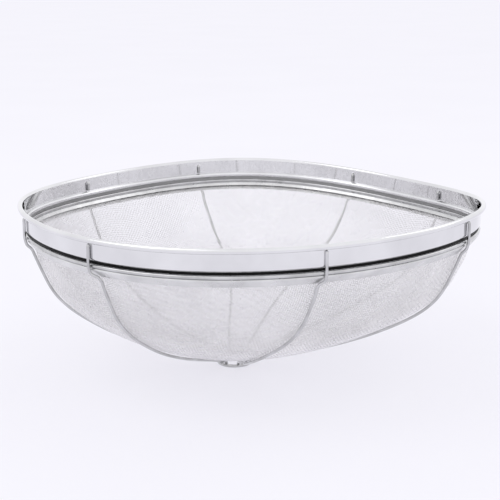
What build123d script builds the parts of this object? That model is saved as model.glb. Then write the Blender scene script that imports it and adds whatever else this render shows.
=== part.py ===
"""Basket strainer: a shallow round bowl of woven stainless wire, hung from a rolled rim band.

Millimetres, +Z up. The origin is on the table under the centre of the rim, so the base ring
stands on Z = 0. Heights in the rim's section are measured down from the top of the rim.
Every piece is stainless steel and nothing on the object moves.
"""
import os
from math import cos, pi, radians, sin, tan

from build123d import *

# ---- driving dimensions -------------------------------------------------------------------
RIM_RADIUS = 225.0           # outermost radius of the rolled rim
STRAINER_HEIGHT = 168.5      # table to the top of the rim, before the rim's warp
SHEET = 0.6                  # thickness of the band and of the hem strip

TOP_ROLL_RADIUS = 2.6        # outside radius of the rim rolled outwards over its core wire
BOTTOM_ROLL_RADIUS = 2.3     # outside radius of the band's lower edge, rolled inwards
BAND_HEIGHT = 20.7
CORE_WIRE = 3.8              # diameters of the round wires
HOOP_WIRE = 3.4
RIB_WIRE = 2.8
BASE_WIRE = 3.0

CLOTH = 1.0                  # thickness of the woven mesh, two wires thick
HEM_OUTER_LEG = 7.0          # how far the folded hem strip reaches down outside the mesh
HEM_INNER_LEG = 3.5          # and inside it
HEM_LEAN = 50.0              # slope of the hem, in degrees from level
HEM_CLEARANCE = 0.25         # between the mesh and each leg of the hem strip
WELD_GAP = 0.02              # left between pieces that are spot welded together
SEAM_CLEARANCE = 0.1         # above and below the strip in the gap between band and hoop

MOUTH_RADIUS = 213.0         # middle of the mesh where it turns down, just below the hem
MOUTH_DROP = 34.3            # and how far that is below the top of the rim
MOUTH_LEAN = 64.0            # slope of the mesh there, in degrees from level
BOWL_PROFILE = [             # middle of the mesh: nominal radius, height above its mouth
    (213.0, 0.0), (210.0, -9.0), (205.0, -21.0), (196.5, -39.0), (178.0, -59.0), (155.0, -74.0),
    (128.0, -88.0), (95.0, -101.5), (60.0, -113.0), (30.0, -121.7), (0.0, -126.0),
]
BOWL_STEPS = 20              # equal steps down the profile that carry the mesh and the ribs
BOWL_SHIFT = 17.0            # the bottom of the bowl hangs this far to -X of the rim's centre

# Each rib's plan angles in degrees: its hook, then how far it jogs sideways under the hem, and
# how far it bows sideways half way in to the base ring.
RIBS = [
    (26.5, 0.0, 0.0), (59.0, 1.2, 9.5), (106.0, -1.0, -10.0), (143.5, 0.0, 0.0),
    (199.5, 0.0, 0.0), (231.5, 2.0, 2.0), (286.0, -1.5, -7.5), (331.0, 0.0, 0.0),
]
RIB_STANDOFF = 0.8           # daylight between a rib and the mesh above it
HOOK_APEX_DROP = 6.7         # top of the rib's hook, where it passes through the band
HOOK_HOLE_RADIUS = 2.1
HOOK_TAIL_DROP = 15.0        # the hook's tail ends here inside the band
HOOK_LEG_DROP = 25.5         # its outside leg starts to lean in here, past the basket hoop
HOOK_ELBOW_DROP = 32.3       # turns in under the hem here
HOOK_LEAN_IN = 1.8           # after leaning in this far
HOOK_UNDER_HEM = 1.7         # and meets the mesh this far below its mouth

BASE_RING_RADIUS = 16.0      # centreline of the little ring that the strainer stands on
RIB_LEAVES_MESH = 27.0       # inside this radius a rib runs straight to the base ring
BASE_TAIL = 3.2              # ribs are bent down this far inside the base ring
RIB_CLEARANCE = 0.15         # between the ribs' ends and the base ring

# The hoop is round in plan but not quite flat: handling has bent it a little. Each wave runs
# a whole number of times round the hoop: (waves, height in mm, plan angle of a crest).
WARP = [(2, 2.6, 124.0), (3, 2.9, 87.0), (4, 1.0, 0.0)]
HOOP_POINTS = 32             # points that carry a hoop's curve once round


def warp(angle):
    """How far the hoop rises above flat at a plan angle."""
    return sum(high * cos(waves * (angle - radians(crest))) for waves, high, crest in WARP)


def hoop_point(angle, radius, height, share=1.0):
    """A point of a hoop; share says how much of the rim's warp reaches it."""
    return Vector(radius * cos(angle), radius * sin(angle), height + share * warp(angle))


def bowl_point(angle, place):
    """A point of the bowl at a plan angle, from a place in its profile."""
    share = min(place.X / MOUTH_RADIUS, 1.0) ** 3
    point = hoop_point(angle, place.X, MOUTH_Z + place.Y, share)
    return point - Vector(BOWL_SHIFT * (1 - share) ** 2, 0, 0)


def closed_curve(point_at):
    """One smooth closed edge through the points that point_at gives once round the object."""
    angles = [2 * pi * step / HOOP_POINTS for step in range(HOOP_POINTS)]
    with BuildLine() as line:
        Spline(*[point_at(angle) for angle in angles], periodic=True)
    return line.edges()[0]


def hoop_path(radius, height):
    """The closed centreline of a hoop that follows the rim's warp."""
    return closed_curve(lambda angle: hoop_point(angle, radius, height))


def section_plane(path):
    """The plane across a hoop's start: local X points outwards and local Y up."""
    along = path % 0
    return Plane(origin=path @ 0, x_dir=along.cross(Vector(0, 0, 1)), z_dir=-along)


def bowl_places(distance):
    """The profile's steps, moved off the middle of the mesh, square to its slope and outwards."""
    lean = radians(MOUTH_LEAN)
    with BuildLine() as line:
        Spline(*BOWL_PROFILE, tangents=[(-cos(lean), -sin(lean)), (-1, 0)])
    profile = line.edges()[0]
    places = []
    for step in range(BOWL_STEPS + 1):
        along = profile % (step / BOWL_STEPS)
        places.append(profile @ (step / BOWL_STEPS) + Vector(-along.Y, along.X) * distance)
    return places


def corner_radii(points):
    """The largest tangent arcs that leave a straight run between each two corners."""
    radii = []
    for before, corner, after in zip(points, points[1:], points[2:]):
        turn = radians((corner - before).get_angle(after - corner))
        shorter = min((corner - before).length, (after - corner).length)
        radii.append(0.45 * shorter / tan(turn / 2))
    return radii


# ---- sizes that follow --------------------------------------------------------------------
RIM_TOP = STRAINER_HEIGHT
MOUTH_Z = RIM_TOP - MOUTH_DROP
ROLL_CENTRE = RIM_RADIUS - TOP_ROLL_RADIUS
WALL_INSIDE = ROLL_CENTRE - TOP_ROLL_RADIUS
WALL_OUTSIDE = WALL_INSIDE + SHEET

HEM_INSIDE = CLOTH / 2 + HEM_CLEARANCE        # half the room between the hem's two legs
HEM_OUTSIDE = HEM_INSIDE + SHEET
HEM_ALONG = Vector(cos(radians(HEM_LEAN)), sin(radians(HEM_LEAN)))
EDGE_ABOVE_MOUTH = HEM_ALONG * (HEM_OUTER_LEG + 0.8)      # the mesh runs on to the hem's fold
EDGE_RADIUS = MOUTH_RADIUS + EDGE_ABOVE_MOUTH.X
EDGE_Z = MOUTH_Z + EDGE_ABOVE_MOUTH.Y
HOOP_RADIUS = WALL_OUTSIDE - HOOP_WIRE / 2
HOOP_Z = EDGE_Z + HEM_OUTSIDE + HOOP_WIRE / 2 + WELD_GAP
CENTRE_X = -BOWL_SHIFT

os.makedirs("parts", exist_ok=True)


def export(part, name):
    part.label = name
    export_step(part, f"parts/{name}.step")


# ---- rim band: sheet with its top edge rolled out and its lower edge rolled in ------------
band_path = hoop_path(WALL_OUTSIDE, RIM_TOP)
band_guide = hoop_path(WALL_OUTSIDE, RIM_TOP + BAND_HEIGHT)
top_roll = (ROLL_CENTRE - WALL_OUTSIDE, -TOP_ROLL_RADIUS)
bottom_roll = (-BOTTOM_ROLL_RADIUS, BOTTOM_ROLL_RADIUS - BAND_HEIGHT)
wall_length = top_roll[1] - bottom_roll[1]

with BuildPart() as rim_band:
    with BuildSketch(section_plane(band_path)):
        with Locations((-SHEET / 2, (top_roll[1] + bottom_roll[1]) / 2)):
            Rectangle(SHEET, wall_length)
        with Locations(top_roll):
            Circle(TOP_ROLL_RADIUS)
            Circle(TOP_ROLL_RADIUS - SHEET, mode=Mode.SUBTRACT)
        with Locations(bottom_roll):
            Circle(BOTTOM_ROLL_RADIUS)
            Circle(BOTTOM_ROLL_RADIUS - SHEET, mode=Mode.SUBTRACT)
    sweep(path=band_path, binormal=band_guide)
    for hook, jog, bow in RIBS:
        angle = radians(hook)
        middle = hoop_point(angle, WALL_OUTSIDE, RIM_TOP - HOOK_APEX_DROP)
        with Locations(Plane(origin=middle, z_dir=(cos(angle), sin(angle), 0))):
            Cylinder(HOOK_HOLE_RADIUS, 6 * SHEET, mode=Mode.SUBTRACT)
export(rim_band.part, "rim_band")

# ---- core wire inside the rolled rim ------------------------------------------------------
core_path = hoop_path(ROLL_CENTRE, RIM_TOP - TOP_ROLL_RADIUS)
with BuildPart() as rim_core_wire:
    with BuildSketch(section_plane(core_path)):
        Circle(CORE_WIRE / 2)
    sweep(path=core_path, binormal=band_guide)
export(rim_core_wire.part, "rim_core_wire")

# ---- basket hoop: the round wire that the hooks carry, with a gap under the band ----------
basket_path = hoop_path(HOOP_RADIUS, HOOP_Z)
with BuildPart() as basket_hoop:
    with BuildSketch(section_plane(basket_path)):
        Circle(HOOP_WIRE / 2)
    sweep(path=basket_path, binormal=band_guide)
export(basket_hoop.part, "basket_hoop")

# ---- seam strip: stands in the gap between the band's lower roll and the basket hoop ------
seam_top = RIM_TOP - BAND_HEIGHT - SEAM_CLEARANCE
seam_bottom = HOOP_Z + HOOP_WIRE / 2 + SEAM_CLEARANCE
seam_radius = (WALL_OUTSIDE - BOTTOM_ROLL_RADIUS + HOOP_RADIUS) / 2
seam_path = hoop_path(seam_radius, (seam_top + seam_bottom) / 2)
with BuildPart() as seam_strip:
    with BuildSketch(section_plane(seam_path)):
        Rectangle(SHEET, seam_top - seam_bottom)
    sweep(path=seam_path, binormal=band_guide)
export(seam_strip.part, "seam_strip")

# ---- hem strip: folded over the mesh's edge and welded under the basket hoop --------------
hem_path = hoop_path(EDGE_RADIUS, EDGE_Z)
hem_guide = hoop_path(EDGE_RADIUS, EDGE_Z + BAND_HEIGHT)
leg_offset = HEM_INSIDE + SHEET / 2
with BuildPart() as hem_strip:
    with BuildSketch(section_plane(hem_path)):
        with Locations(Location((0, 0, 0), (0, 0, HEM_LEAN - 90))):
            Circle(HEM_OUTSIDE)
            Circle(HEM_INSIDE, mode=Mode.SUBTRACT)
            with Locations((0, -HEM_OUTER_LEG / 2)):
                Rectangle(2 * HEM_INSIDE, HEM_OUTER_LEG, mode=Mode.SUBTRACT)
            with Locations((leg_offset, -HEM_OUTER_LEG / 2)):
                Rectangle(SHEET, HEM_OUTER_LEG)
            with Locations((-leg_offset, -HEM_INNER_LEG / 2)):
                Rectangle(SHEET, HEM_INNER_LEG)
    sweep(path=hem_path, binormal=hem_guide)
export(hem_strip.part, "hem_strip")

# ---- mesh bowl: the woven cloth as one thin closed shell ----------------------------------
def bowl_side(distance):
    """One side of the cloth, from its edge in the hem down to the very middle."""
    places = bowl_places(distance)
    rows = [places[0] + EDGE_ABOVE_MOUTH, places[0] + EDGE_ABOVE_MOUTH / 2] + places[:-1]
    hoops = [Wire(closed_curve(lambda angle: bowl_point(angle, row))) for row in rows]
    return hoops[0], Shell.make_loft(hoops + [Vertex(*bowl_point(0, places[-1]))])


under_edge, under_side = bowl_side(CLOTH / 2)
upper_edge, upper_side = bowl_side(-CLOTH / 2)
cut_edge = Shell.make_loft([under_edge, upper_edge], ruled=True)
with BuildPart() as mesh_bowl:
    add(Solid(Shell(under_side.faces() + upper_side.faces() + cut_edge.faces())))
export(mesh_bowl.part, "mesh_bowl")

# ---- ribs: wires under the mesh, hooked through the band and over the base ring -----------
rib_drop = CLOTH / 2 + RIB_STANDOFF + RIB_WIRE / 2        # mesh middle to rib middle
rib_places = [place for place in bowl_places(rib_drop)[1:] if place.X > RIB_LEAVES_MESH]
outside_leg = WALL_OUTSIDE + RIB_WIRE / 2 + 0.4
inside_leg = WALL_INSIDE - RIB_WIRE / 2 - 0.3
hem_elbow = (outside_leg - HOOK_LEAN_IN, HOOK_ELBOW_DROP)
hem_corner = (MOUTH_RADIUS + HEM_OUTSIDE + RIB_WIRE / 2, MOUTH_DROP + HOOK_UNDER_HEM)
ring_stop = BASE_RING_RADIUS - (BASE_WIRE + RIB_WIRE) / 2 - RIB_CLEARANCE
ring_crossing = BASE_WIRE + RIB_WIRE / 2 + RIB_CLEARANCE


def rim_point(angle, radius, drop):
    return hoop_point(angle, radius, RIM_TOP - drop)


for number, (hook, jog, bow) in enumerate(RIBS, start=1):
    angle = radians(hook)
    over_ring = Vector(CENTRE_X + ring_stop * cos(angle), ring_stop * sin(angle), ring_crossing)
    under_mesh = []
    for place in rib_places:
        share = place.X / MOUTH_RADIUS
        turned = radians(hook + jog + bow * 4 * share * (1 - share))
        under_mesh.append(bowl_point(turned, place))
    route = [
        rim_point(angle, inside_leg, HOOK_TAIL_DROP),
        rim_point(angle, inside_leg, HOOK_APEX_DROP),
        rim_point(angle, outside_leg, HOOK_APEX_DROP),
        rim_point(angle, outside_leg, HOOK_LEG_DROP),
        rim_point(angle, *hem_elbow),
        rim_point(angle + radians(jog), *hem_corner),
        *under_mesh,
        over_ring,
        over_ring - Vector(0, 0, BASE_TAIL),
    ]
    with BuildPart() as rib:
        with BuildLine() as rib_line:
            FilletPolyline(*route, radius=corner_radii(route))
        with BuildSketch(Plane(origin=rib_line.line @ 0, z_dir=rib_line.line % 0)):
            Circle(RIB_WIRE / 2)
        sweep(path=rib_line.line)
    export(rib.part, f"rib_{number}")

# ---- base ring: the strainer's foot -------------------------------------------------------
with BuildPart() as base_ring:
    with BuildSketch(Plane.XZ):
        with Locations((BASE_RING_RADIUS, BASE_WIRE / 2)):
            Circle(BASE_WIRE / 2)
    revolve(axis=Axis.Z)
base_ring.part.position = (CENTRE_X, 0, 0)
export(base_ring.part, "base_ring")
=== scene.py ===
"""Basket strainer: woven wire cloth, polished steel, floor, light and camera round the CAD frame.

Metres, +Z up, in the frame's own place. The CAD's plain bowl shell is replaced by real woven
wires laid on its surface. Every other CAD node stays and gets a better material.
"""
import math

import bpy
import numpy as np
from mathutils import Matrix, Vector
from mathutils.bvhtree import BVHTree


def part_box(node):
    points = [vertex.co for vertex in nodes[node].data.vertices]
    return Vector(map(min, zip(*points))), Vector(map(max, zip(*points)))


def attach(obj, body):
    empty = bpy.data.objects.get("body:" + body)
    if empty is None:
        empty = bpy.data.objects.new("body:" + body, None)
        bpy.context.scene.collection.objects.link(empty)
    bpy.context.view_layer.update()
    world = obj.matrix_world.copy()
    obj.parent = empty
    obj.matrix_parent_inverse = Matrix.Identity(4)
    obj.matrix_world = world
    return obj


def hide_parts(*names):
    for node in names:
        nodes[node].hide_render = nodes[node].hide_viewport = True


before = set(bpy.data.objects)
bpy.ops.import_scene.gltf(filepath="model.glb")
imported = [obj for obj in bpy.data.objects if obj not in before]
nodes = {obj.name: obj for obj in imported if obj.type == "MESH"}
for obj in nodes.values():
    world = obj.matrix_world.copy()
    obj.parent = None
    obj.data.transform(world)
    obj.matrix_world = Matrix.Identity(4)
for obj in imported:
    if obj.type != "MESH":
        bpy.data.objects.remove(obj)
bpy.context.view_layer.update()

# ---- sizes ----------------------------------------------------------------------------------
CLOTH_PITCH = 0.0021         # from one wire of the cloth to the next
CLOTH_TURN = 38.0            # the way its wires run at the bottom of the bowl, degrees from +X
CLOTH_SHARES = 8             # pieces that each set of wires is kept in
CUT_INSIDE_HEM = 0.0011      # the wires end this far inside the CAD cloth's outermost edge
AXIS_LENGTH = 1.4            # each wire laid first, from the middle, in radii of the cloth's edge
EDGE_SPARE = 8               # pitches by which the cloth is laid past its edge, before it is cut

WIRE = 0.0005                # diameter of the cloth's wire
WIRE_SIDES = 4               # flat sides of its tube
WIRE_CORNER = 0.55           # from its middle to the tube's corners, in diameters
WIRE_LIFT = 0.85             # how far it rises or dips at a crossing, in radii

SEAM_MIDDLE = 0.2184         # radius of the seam strip's middle
SEAM_BLOTCH = 0.0002         # how far noise moves the border between its gray and its painted black shade

CAMERA_DISTANCE = 1.25       # from the centre of the rim
CAMERA_RISE = 10.43          # degrees above the rim
CAMERA_AIM = Vector((-0.0017, 0.0, 0.1157))
CAMERA_LENS = 92.3           # on a 36 mm sensor
RIM_CENTRE = Vector((0, 0, 0.1685))
LAMP_AIM = Vector((0, 0, 0.1))
FLOOR_REACH = 30.0


# ---- the cloth's surface --------------------------------------------------------------------
class Bowl:
    """The middle of the CAD cloth, as heights over polar steps round the rim's axis."""

    def __init__(self, node, outer, steps=180, turns=360, clear=1.0):
        low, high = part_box(node.name)
        vertices = [vertex.co for vertex in node.data.vertices]
        faces = [tuple(face.vertices) for face in node.data.polygons]
        tree = BVHTree.FromPolygons(vertices, faces)
        self.outer = outer
        self.step = outer / steps
        self.heights = np.zeros((steps + 1, turns))
        for ring in range(steps + 1):
            for turn in range(turns):
                angle = 2 * math.pi * turn / turns
                x = ring * self.step * math.cos(angle)
                y = ring * self.step * math.sin(angle)
                top = tree.ray_cast(Vector((x, y, high.z + clear)), Vector((0, 0, -1)))[0]
                under = tree.ray_cast(Vector((x, y, low.z - clear)), Vector((0, 0, 1)))[0]
                self.heights[ring, turn] = (top.z + under.z) / 2

    def height(self, x, y):
        """Heights at plan points; past the cloth's edge its slope runs straight on."""
        steps, turns = self.heights.shape
        out = np.hypot(x, y) / self.step
        around = (np.arctan2(y, x) / (2 * math.pi) % 1.0) * turns
        ring = np.clip(out.astype(int), 0, steps - 2)
        turn = around.astype(int) % turns
        beside = (turn + 1) % turns
        share = around - np.floor(around)
        inner, outer = (self.heights[row, turn] * (1 - share) + self.heights[row, beside] * share
                        for row in (ring, ring + 1))
        return inner * (1 - (out - ring)) + outer * (out - ring)

    def slopes(self, x, y, reach=0.0008):
        """The surface's slopes along X and Y."""
        along_x = (self.height(x + reach, y) - self.height(x - reach, y)) / (2 * reach)
        along_y = (self.height(x, y + reach) - self.height(x, y - reach)) / (2 * reach)
        return along_x, along_y


def lay_axis(bowl, start, heading, count, rounds=6):
    """Points on the surface one pitch apart, along a straight line in plan."""
    points = [start]
    for _ in range(count):
        here = points[-1]
        run = CLOTH_PITCH
        for _ in range(rounds):
            x, y = here[:2] + run * heading
            run *= CLOTH_PITCH / math.hypot(run, bowl.height(x, y) - here[2])
        x, y = here[:2] + run * heading
        points.append(np.array((x, y, bowl.height(x, y))))
    return np.array(points)


def lay_quarter(bowl, first, second, rounds=8):
    """A quarter of the cloth: every crossing is one pitch from its two neighbours.

    It grows from its two sides, a diagonal at a time, by Newton's method on the two distances.
    """
    limit = bowl.outer + EDGE_SPARE * CLOTH_PITCH
    count = len(first)
    net = np.full((count, count, 3), np.nan)
    net[:, 0] = first
    net[0, :] = second
    for diagonal in range(2, 2 * count - 1):
        i = np.arange(max(1, diagonal - count + 1), min(count, diagonal))
        j = diagonal - i
        one, two, back = net[i - 1, j], net[i, j - 1], net[i - 1, j - 1]
        x, y = (one + two - back)[:, :2].T
        for _ in range(rounds):
            z = bowl.height(x, y)
            slope_x, slope_y = bowl.slopes(x, y)
            rows = []
            for near in (one, two):
                dx, dy, dz = x - near[:, 0], y - near[:, 1], z - near[:, 2]
                miss = dx * dx + dy * dy + dz * dz - CLOTH_PITCH * CLOTH_PITCH
                rows.append((miss, 2 * (dx + dz * slope_x), 2 * (dy + dz * slope_y)))
            (f, fx, fy), (g, gx, gy) = rows
            scale = fx * gy - fy * gx
            scale = np.where(np.abs(scale) < 1e-12, 1e-12, scale)
            x = x - np.clip((f * gy - g * fy) / scale, -CLOTH_PITCH, CLOTH_PITCH)
            y = y - np.clip((g * fx - f * gx) / scale, -CLOTH_PITCH, CLOTH_PITCH)
        laid = np.stack((x, y, bowl.height(x, y)), axis=1)
        laid[np.hypot(x, y) > limit] = np.nan
        net[i, j] = laid
    return net


def lay_cloth(bowl, centre):
    """The crossings of the whole cloth, as an array of rows and columns."""
    half = int(bowl.outer * AXIS_LENGTH / CLOTH_PITCH)
    start = np.array((*centre, bowl.height(*np.array(centre))))
    turn = math.radians(CLOTH_TURN)
    along = np.array((math.cos(turn), math.sin(turn)))
    across = np.array((-math.sin(turn), math.cos(turn)))
    signs = (1, -1)
    firsts, seconds = ([lay_axis(bowl, start, sign * heading, half) for sign in signs]
                       for heading in (along, across))
    steps = np.arange(half + 1)
    net = np.full((2 * half + 1, 2 * half + 1, 3), np.nan)
    for sign_i, first in zip(signs, firsts):
        for sign_j, second in zip(signs, seconds):
            net[np.ix_(half + sign_i * steps, half + sign_j * steps)] = lay_quarter(bowl, first, second)
    return net


# ---- woven wires ----------------------------------------------------------------------------
def cut_tip(bowl, inside, outside):
    """The point between two crossings where the cloth's edge cuts their wire."""
    near, far = np.hypot(*inside[:2]), np.hypot(*outside[:2])
    share = (bowl.outer - near) / (far - near)
    return inside * (1 - share) + outside * share


def cut_line(bowl, line, signs):
    """The part of a line of crossings inside the cloth's edge, with its ends cut there.

    The signs say whether its wire goes over (1) or under (-1) at each crossing.
    """
    inside = np.where(np.hypot(line[:, 0], line[:, 1]) <= bowl.outer)[0]
    if len(inside) < 3:
        return None
    first, last = inside[0], inside[-1]
    points, ups = list(line[first:last + 1]), list(signs[first:last + 1])
    if first > 0 and not np.isnan(line[first - 1, 0]):
        points.insert(0, cut_tip(bowl, line[first], line[first - 1]))
        ups.insert(0, 0.0)
    if last + 1 < len(line) and not np.isnan(line[last + 1, 0]):
        points.append(cut_tip(bowl, line[last], line[last + 1]))
        ups.append(0.0)
    return np.array(points), np.array(ups)


def wire_tube(bowl, points, ups):
    """Vertices of one woven wire: rings of a thin tube that goes over and under in turn."""
    early = points[:-1] * 0.75 + points[1:] * 0.25
    late = points[:-1] * 0.25 + points[1:] * 0.75
    middles = np.stack((early, late), axis=1).reshape(-1, 3)
    lift = WIRE_LIFT * np.stack((ups[:-1], ups[1:]), axis=1).reshape(-1) * WIRE / 2
    middles = np.vstack((points[:1], middles, points[-1:]))
    lift = np.concatenate(([0.0], lift, [0.0]))
    slope_x, slope_y = bowl.slopes(middles[:, 0], middles[:, 1])
    normal = np.stack((-slope_x, -slope_y, np.ones(len(slope_x))), axis=1)
    normal /= np.linalg.norm(normal, axis=1, keepdims=True)
    middles = middles + normal * lift[:, None]
    along = np.gradient(middles, axis=0)
    along /= np.linalg.norm(along, axis=1, keepdims=True)
    side = np.cross(along, normal)
    side /= np.linalg.norm(side, axis=1, keepdims=True)
    up = np.cross(side, along)
    rings = []
    for corner in range(WIRE_SIDES):
        angle = 2 * math.pi * (corner + 0.5) / WIRE_SIDES
        offset = side * math.cos(angle) + up * math.sin(angle)
        rings.append(middles + offset * WIRE * WIRE_CORNER)
    return np.stack(rings, axis=1)


def tube_faces(rings, start):
    """Quads round a tube of that many rings, whose vertices begin at start."""
    ring = np.arange(rings - 1)[:, None] * WIRE_SIDES + start
    corner = np.arange(WIRE_SIDES)[None, :]
    beside = (corner + 1) % WIRE_SIDES
    quads = np.stack((ring + corner, ring + beside, ring + WIRE_SIDES + beside,
                      ring + WIRE_SIDES + corner), axis=2).reshape(-1, 4)
    first = start + np.arange(WIRE_SIDES)[::-1]
    last = start + (rings - 1) * WIRE_SIDES + np.arange(WIRE_SIDES)
    return np.vstack((quads, first[None, :], last[None, :]))


def quad_object(name, vertices, faces, material):
    """A smooth mesh object from arrays of vertices and four-cornered faces."""
    mesh = bpy.data.meshes.new(name)
    mesh.vertices.add(len(vertices))
    mesh.vertices.foreach_set("co", vertices.astype(np.float32).ravel())
    mesh.loops.add(faces.size)
    mesh.loops.foreach_set("vertex_index", faces.astype(np.int32).ravel())
    mesh.polygons.add(len(faces))
    mesh.polygons.foreach_set("loop_start", np.arange(0, faces.size, 4, dtype=np.int32))
    mesh.update(calc_edges=True)
    mesh.shade_smooth()
    mesh.materials.append(material)
    item = bpy.data.objects.new(name, mesh)
    bpy.context.scene.collection.objects.link(item)
    return item


def weave(bowl, net, name, material, down):
    """One set of the cloth's wires, in a few pieces that stand for the CAD bowl."""
    rows, columns = net.shape[:2]
    checks = 1.0 - 2.0 * ((np.arange(rows)[:, None] + np.arange(columns)[None, :]) % 2)
    wires = []
    for row in range(rows):
        cut = cut_line(bowl, net[row], checks[row] * (-1 if down else 1))
        if cut is not None:
            wires.append(wire_tube(bowl, *cut))
    for share in range(CLOTH_SHARES):
        chosen = wires[share * len(wires) // CLOTH_SHARES:(share + 1) * len(wires) // CLOTH_SHARES]
        vertices, faces, start = [], [], 0
        for tube in chosen:
            vertices.append(tube.reshape(-1, 3))
            faces.append(tube_faces(len(tube), start))
            start += tube.shape[0] * WIRE_SIDES
        item = quad_object(f"{name}_{share + 1}", np.vstack(vertices), np.vstack(faces), material)
        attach(item, "root")
        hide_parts("mesh_bowl")


# ---- materials ------------------------------------------------------------------------------
class Finish:
    """A Principled material, metal unless told otherwise, that its nodes colour and roughen."""

    def __init__(self, name, metallic=1.0):
        self.material = bpy.data.materials.new(name)
        self.material.use_nodes = True
        self.tree = self.material.node_tree
        self.shader = self.tree.nodes["Principled BSDF"]
        self.shader.inputs["Metallic"].default_value = metallic
        self.place = self.add("ShaderNodeTexCoord").outputs["Object"]

    def add(self, kind, operation=None):
        """A new node, set to an operation where its kind has one."""
        node = self.tree.nodes.new(kind)
        if operation:
            node.operation = operation
        return node

    def link(self, source, target):
        self.tree.links.new(source, target)

    def noise(self, scale, detail=3.0, place=None):
        node = self.add("ShaderNodeTexNoise")
        node.inputs["Scale"].default_value = scale
        node.inputs["Detail"].default_value = detail
        self.link(place or self.place, node.inputs["Vector"])
        return node.outputs["Fac"]

    def spread(self, source, low, high, start=0.3, end=0.7):
        """The source's values from start to end, spread over low to high."""
        node = self.add("ShaderNodeMapRange")
        for key, value in (("From Min", start), ("From Max", end), ("To Min", low), ("To Max", high)):
            node.inputs[key].default_value = value
        self.link(source, node.inputs["Value"])
        return node.outputs["Result"]

    def colour(self, source, first, last, start=0.3, end=0.7):
        """Base colour from the first where the source is at start to the last where it is at end."""
        node = self.add("ShaderNodeValToRGB")
        for stop, position, colour in zip(node.color_ramp.elements, (start, end), (first, last)):
            stop.position = position
            stop.color = (*colour, 1)
        self.link(source, node.inputs["Fac"])
        self.link(node.outputs["Color"], self.shader.inputs["Base Color"])

    def roughness(self, source, low, high):
        self.link(self.spread(source, low, high), self.shader.inputs["Roughness"])

    def bump(self, source, distance):
        """Relief of that height, on top of any that was given before."""
        node = self.add("ShaderNodeBump")
        node.inputs["Distance"].default_value = distance
        node.inputs["Strength"].default_value = 1.0
        self.link(source, node.inputs["Height"])
        if self.shader.inputs["Normal"].is_linked:
            self.link(self.shader.inputs["Normal"].links[0].from_socket, node.inputs["Normal"])
        self.link(node.outputs["Normal"], self.shader.inputs["Normal"])

    def around(self, turns, rise):
        """Places measured round the object, so that noise there runs in lines round the rim."""
        split = self.add("ShaderNodeSeparateXYZ")
        self.link(self.place, split.inputs["Vector"])
        angle = self.add("ShaderNodeMath", "ARCTAN2")
        self.link(split.outputs["Y"], angle.inputs[0])
        self.link(split.outputs["X"], angle.inputs[1])
        join = self.add("ShaderNodeCombineXYZ")
        for source, factor, target in ((angle.outputs[0], turns, "X"), (split.outputs["Z"], rise, "Y")):
            times = self.add("ShaderNodeMath", "MULTIPLY")
            times.inputs[1].default_value = factor
            self.link(source, times.inputs[0])
            self.link(times.outputs[0], join.inputs[target])
        return join.outputs["Vector"]

    def radius(self):
        """Distance from the rim's axis."""
        flat = self.add("ShaderNodeVectorMath", "MULTIPLY")
        flat.inputs[1].default_value = (1.0, 1.0, 0.0)
        self.link(self.place, flat.inputs[0])
        length = self.add("ShaderNodeVectorMath", "LENGTH")
        self.link(flat.outputs["Vector"], length.inputs[0])
        return length.outputs["Value"]


def band_steel():
    """Polished sheet: mirror bright, a little wavy, with fine polishing lines round the band."""
    steel = Finish("polished_sheet")
    lines = steel.noise(1.0, 4.0, steel.around(9.0, 2600.0))
    steel.colour(steel.noise(22.0), (0.70, 0.70, 0.71), (0.80, 0.80, 0.81))
    steel.roughness(lines, 0.015, 0.04)
    steel.bump(steel.noise(14.0, 1.0), 0.0004)
    steel.bump(lines, 0.000004)
    return steel.material


def wire_steel():
    """Drawn wire: bright, with faint dull patches."""
    steel = Finish("drawn_wire")
    steel.colour(steel.noise(60.0), (0.46, 0.46, 0.46), (0.64, 0.64, 0.65))
    steel.roughness(steel.noise(140.0), 0.07, 0.16)
    steel.bump(steel.noise(700.0, 2.0), 0.00003)
    return steel.material


def hem_steel():
    """The folded strip: satin, creased a little where it was pressed over the cloth."""
    steel = Finish("satin_strip")
    steel.colour(steel.noise(45.0), (0.60, 0.60, 0.60), (0.76, 0.76, 0.76))
    steel.roughness(steel.noise(120.0), 0.24, 0.38)
    steel.bump(steel.noise(2.0, 2.0, steel.around(30.0, 60.0)), 0.0003)
    return steel.material


def seam_painted_shade():
    """The strip in the gap under the band: painted black outside, as painted shade in the gap, and gray
    inside.
    """
    steel = Finish("seam_painted_shade")
    blotch = steel.add("ShaderNodeMath", "MULTIPLY_ADD")
    blotch.inputs[1].default_value = SEAM_BLOTCH
    steel.link(steel.noise(30.0), blotch.inputs[0])
    steel.link(steel.radius(), blotch.inputs[2])
    painted_shade_outward = steel.spread(blotch.outputs["Value"], 0.0, 1.0, SEAM_MIDDLE - 0.0001, SEAM_MIDDLE + 0.0003)
    # Painted shade: near black on the strip's outer side, where the gap under the band lies in shade;
    # gray on its inner side.
    steel.colour(painted_shade_outward, (0.34, 0.34, 0.34), (0.012, 0.012, 0.012), 0.1, 0.9)
    steel.roughness(steel.noise(120.0), 0.45, 0.6)
    return steel.material


def cloth_steel():
    """The cloth's thin wires: bright, with a slow change of tone over the bowl."""
    steel = Finish("cloth_wire")
    steel.colour(steel.noise(18.0), (0.80, 0.79, 0.80), (0.92, 0.91, 0.92))
    steel.roughness(steel.noise(90.0), 0.22, 0.34)
    return steel.material


def floor_paint():
    """Matt and pale. It gives off a little light of its own, which keeps shadows faint."""
    paint = Finish("floor", metallic=0.0)
    paint.colour(paint.noise(3.0), (0.335, 0.335, 0.34), (0.345, 0.345, 0.35))
    for socket, value in (
        ("Roughness", 0.8),
        ("Specular IOR Level", 0.0),
        ("Emission Color", (0.93, 0.915, 1.0, 1)),
        ("Emission Strength", 0.61),
    ):
        paint.shader.inputs[socket].default_value = value
    return paint.material


def dress(names, material):
    """Gives CAD nodes a material in place of their own."""
    for name in names:
        nodes[name].data.materials.clear()
        nodes[name].data.materials.append(material)


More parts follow.
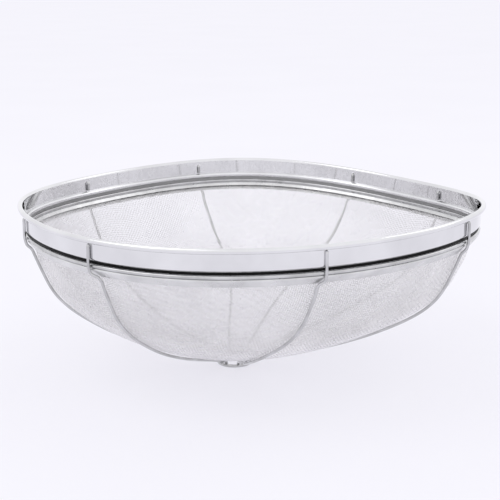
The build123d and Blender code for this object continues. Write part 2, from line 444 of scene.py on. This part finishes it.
# ---- floor, light and camera ----------------------------------------------------------------
def make_floor():
    """A wide plane at the height that the strainer stands on."""
    corners = np.array([(-1, -1, 0), (1, -1, 0), (1, 1, 0), (-1, 1, 0)], float) * FLOOR_REACH
    floor = quad_object("floor", corners, np.array([[0, 1, 2, 3]]), floor_paint())


def make_light():
    """Even pale light from all round, with two large soft lamps above."""
    world = bpy.data.worlds.new("studio")
    bpy.context.scene.world = world
    world.use_nodes = True
    background = world.node_tree.nodes["Background"]
    background.inputs["Color"].default_value = (0.975, 0.975, 1.0, 1)
    background.inputs["Strength"].default_value = 1.06
    for name, place, size, power in (
        ("key", (-1.6, -0.6, 2.4), 1.8, 9.0),
        ("fill", (1.8, 0.9, 1.9), 1.6, 4.0),
    ):
        lamp = bpy.data.lights.new(name, "AREA")
        lamp.size = size
        lamp.energy = power
        item = bpy.data.objects.new(name, lamp)
        item.location = place
        item.rotation_euler = (LAMP_AIM - Vector(place)).to_track_quat("-Z", "Y").to_euler()
        bpy.context.scene.collection.objects.link(item)


def make_camera():
    """A long lens in front of the strainer, a little above its rim."""
    rise = math.radians(CAMERA_RISE)
    data = bpy.data.cameras.new("camera")
    data.lens = CAMERA_LENS
    data.sensor_width = 36
    data.clip_end = 100
    camera = bpy.data.objects.new("camera", data)
    camera.location = RIM_CENTRE + CAMERA_DISTANCE * Vector((0, -math.cos(rise), math.sin(rise)))
    camera.rotation_euler = (CAMERA_AIM - camera.location).to_track_quat("-Z", "Y").to_euler()
    bpy.context.scene.collection.objects.link(camera)
    bpy.context.scene.camera = camera


dress(["rim_band"], band_steel())
dress(["hem_strip"], hem_steel())
# The seam strip carries painted shade: black where the gap under the band is in shade.
dress(["seam_strip"], seam_painted_shade())
dress(["rim_core_wire", "basket_hoop", "base_ring"] + [f"rib_{n}" for n in range(1, 9)], wire_steel())

cloth_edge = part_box("mesh_bowl")[1].x
bowl = Bowl(nodes["mesh_bowl"], cloth_edge - CUT_INSIDE_HEM)
ring_low, ring_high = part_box("base_ring")
net = lay_cloth(bowl, ((ring_low.x + ring_high.x) / 2, 0.0))
cloth = cloth_steel()
weave(bowl, net, "cloth_warp", cloth, down=False)
weave(bowl, net.transpose(1, 0, 2), "cloth_weft", cloth, down=True)

make_floor()
make_light()
make_camera()
bpy.context.scene.view_settings.view_transform = "Standard"
